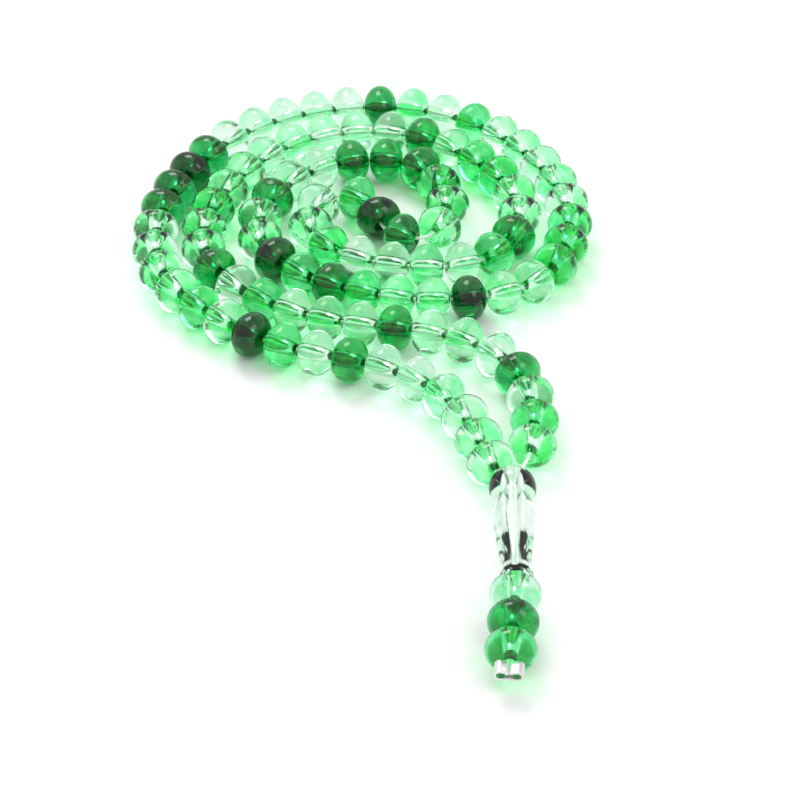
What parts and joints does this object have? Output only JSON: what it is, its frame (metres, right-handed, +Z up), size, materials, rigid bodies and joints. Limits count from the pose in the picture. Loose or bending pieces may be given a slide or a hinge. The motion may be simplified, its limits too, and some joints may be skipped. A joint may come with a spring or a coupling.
{
  "type": "misbaha prayer beads",
  "caption": "Closed loop of round translucent green and clear beads on one cord, with a long clear leader bead, a short beaded tail and a metal crimp.",
  "frame": {"origin": "on the resting surface, straight below the leader bead's loop mouth", "axes": "+Z up; the tail points along -Y and the coil lies towards +Y"},
  "size_m": [0.0812, 0.1522, 0.008],
  "materials": {
    "bead_acrylic": "polished translucent acrylic, mixed green and clear",
    "imame_acrylic": "polished clear acrylic",
    "crimp_metal": "bright folded sheet",
    "cord": "fine pale twisted thread"
  },
  "bodies": {
    "strand": {"cord": "cord", "imame": "imame_acrylic", "cord_crimp": "crimp_metal", "coil_beads_01": "bead_acrylic", "coil_beads_02": "bead_acrylic", "coil_beads_03": "bead_acrylic", "coil_beads_04": "bead_acrylic", "coil_beads_05": "bead_acrylic", "coil_beads_06": "bead_acrylic", "coil_beads_07": "bead_acrylic", "coil_beads_08": "bead_acrylic", "coil_beads_09": "bead_acrylic", "coil_beads_10": "bead_acrylic", "coil_beads_11": "bead_acrylic", "coil_beads_12": "bead_acrylic", "coil_beads_13": "bead_acrylic", "coil_beads_14": "bead_acrylic"},
    "tail_bead_1": {"tail_bead_1": "bead_acrylic"},
    "tail_bead_2": {"tail_bead_2": "bead_acrylic"},
    "tail_bead_3": {"tail_bead_3": "bead_acrylic"},
    "left_bead_01": {"left_bead_01": "bead_acrylic"},
    "left_bead_02": {"left_bead_02": "bead_acrylic"},
    "left_bead_03": {"left_bead_03": "bead_acrylic"},
    "left_bead_04": {"left_bead_04": "bead_acrylic"},
    "left_bead_05": {"left_bead_05": "bead_acrylic"},
    "left_bead_06": {"left_bead_06": "bead_acrylic"},
    "left_bead_07": {"left_bead_07": "bead_acrylic"},
    "left_bead_08": {"left_bead_08": "bead_acrylic"},
    "left_bead_09": {"left_bead_09": "bead_acrylic"},
    "right_bead_01": {"right_bead_01": "bead_acrylic"},
    "right_bead_02": {"right_bead_02": "bead_acrylic"},
    "right_bead_03": {"right_bead_03": "bead_acrylic"},
    "right_bead_04": {"right_bead_04": "bead_acrylic"},
    "right_bead_05": {"right_bead_05": "bead_acrylic"},
    "right_bead_06": {"right_bead_06": "bead_acrylic"},
    "right_bead_07": {"right_bead_07": "bead_acrylic"},
    "right_bead_08": {"right_bead_08": "bead_acrylic"},
    "right_bead_09": {"right_bead_09": "bead_acrylic"}
  },
  "joints": [
    {"name": "tail_bead_1_spin", "type": "hinge", "parent": "strand", "child": "tail_bead_1", "pos_m": [-0.00027, -0.02623, 0.004], "axis": [-0.0896, -0.996, 0], "continuous": true},
    {"name": "tail_bead_2_spin", "type": "hinge", "parent": "strand", "child": "tail_bead_2", "pos_m": [-0.00081, -0.03218, 0.004], "axis": [-0.0896, -0.996, 0], "continuous": true},
    {"name": "tail_bead_3_spin", "type": "hinge", "parent": "strand", "child": "tail_bead_3", "pos_m": [-0.00134, -0.03812, 0.004], "axis": [-0.0896, -0.996, 0], "continuous": true},
    {"name": "left_bead_01_spin", "type": "hinge", "parent": "strand", "child": "left_bead_01", "pos_m": [-0.00329, 0.00377, 0.004], "axis": [-0.3372, 0.9414, 0], "continuous": true},
    {"name": "left_bead_02_spin", "type": "hinge", "parent": "strand", "child": "left_bead_02", "pos_m": [-0.00513, 0.00945, 0.004], "axis": [-0.2778, 0.9606, 0], "continuous": true},
    {"name": "left_bead_03_spin", "type": "hinge", "parent": "strand", "child": "left_bead_03", "pos_m": [-0.00729, 0.01514, 0.004], "axis": [-0.4297, 0.903, 0], "continuous": true},
    {"name": "left_bead_04_spin", "type": "hinge", "parent": "strand", "child": "left_bead_04", "pos_m": [-0.01065, 0.02035, 0.004], "axis": [-0.6454, 0.7639, 0], "continuous": true},
    {"name": "left_bead_05_spin", "type": "hinge", "parent": "strand", "child": "left_bead_05", "pos_m": [-0.01518, 0.02454, 0.004], "axis": [-0.8116, 0.5842, 0], "continuous": true},
    {"name": "left_bead_06_spin", "type": "hinge", "parent": "strand", "child": "left_bead_06", "pos_m": [-0.02052, 0.02759, 0.004], "axis": [-0.9154, 0.4026, 0], "continuous": true},
    {"name": "left_bead_07_spin", "type": "hinge", "parent": "strand", "child": "left_bead_07", "pos_m": [-0.02617, 0.0297, 0.004], "axis": [-0.9555, 0.2949, 0], "continuous": true},
    {"name": "left_bead_08_spin", "type": "hinge", "parent": "strand", "child": "left_bead_08", "pos_m": [-0.03181, 0.03141, 0.004], "axis": [-0.9586, 0.2849, 0], "continuous": true},
    {"name": "left_bead_09_spin", "type": "hinge", "parent": "strand", "child": "left_bead_09", "pos_m": [-0.03749, 0.03347, 0.004], "axis": [-0.9181, 0.3964, 0], "continuous": true},
    {"name": "right_bead_01_spin", "type": "hinge", "parent": "strand", "child": "right_bead_01", "pos_m": [0.00353, 0.00798, 0.004], "axis": [-0.1834, -0.983, 0], "continuous": true},
    {"name": "right_bead_02_spin", "type": "hinge", "parent": "strand", "child": "right_bead_02", "pos_m": [0.00411, 0.01406, 0.004], "axis": [-0.0075, -1, 0], "continuous": true},
    {"name": "right_bead_03_spin", "type": "hinge", "parent": "strand", "child": "right_bead_03", "pos_m": [0.0036, 0.02015, 0.004], "axis": [0.1726, -0.985, 0], "continuous": true},
    {"name": "right_bead_04_spin", "type": "hinge", "parent": "strand", "child": "right_bead_04", "pos_m": [0.00174, 0.02606, 0.004], "axis": [0.4224, -0.9064, 0], "continuous": true},
    {"name": "right_bead_05_spin", "type": "hinge", "parent": "strand", "child": "right_bead_05", "pos_m": [-0.00191, 0.03119, 0.004], "axis": [0.7183, -0.6957, 0], "continuous": true},
    {"name": "right_bead_06_spin", "type": "hinge", "parent": "strand", "child": "right_bead_06", "pos_m": [-0.00698, 0.03481, 0.004], "axis": [0.892, -0.452, 0], "continuous": true},
    {"name": "right_bead_07_spin", "type": "hinge", "parent": "strand", "child": "right_bead_07", "pos_m": [-0.01274, 0.03698, 0.004], "axis": [0.9686, -0.2485, 0], "continuous": true},
    {"name": "right_bead_08_spin", "type": "hinge", "parent": "strand", "child": "right_bead_08", "pos_m": [-0.01862, 0.03819, 0.004], "axis": [0.988, -0.1546, 0], "continuous": true},
    {"name": "right_bead_09_spin", "type": "hinge", "parent": "strand", "child": "right_bead_09", "pos_m": [-0.02447, 0.03921, 0.004], "axis": [0.9818, -0.1899, 0], "continuous": true}
  ]
}
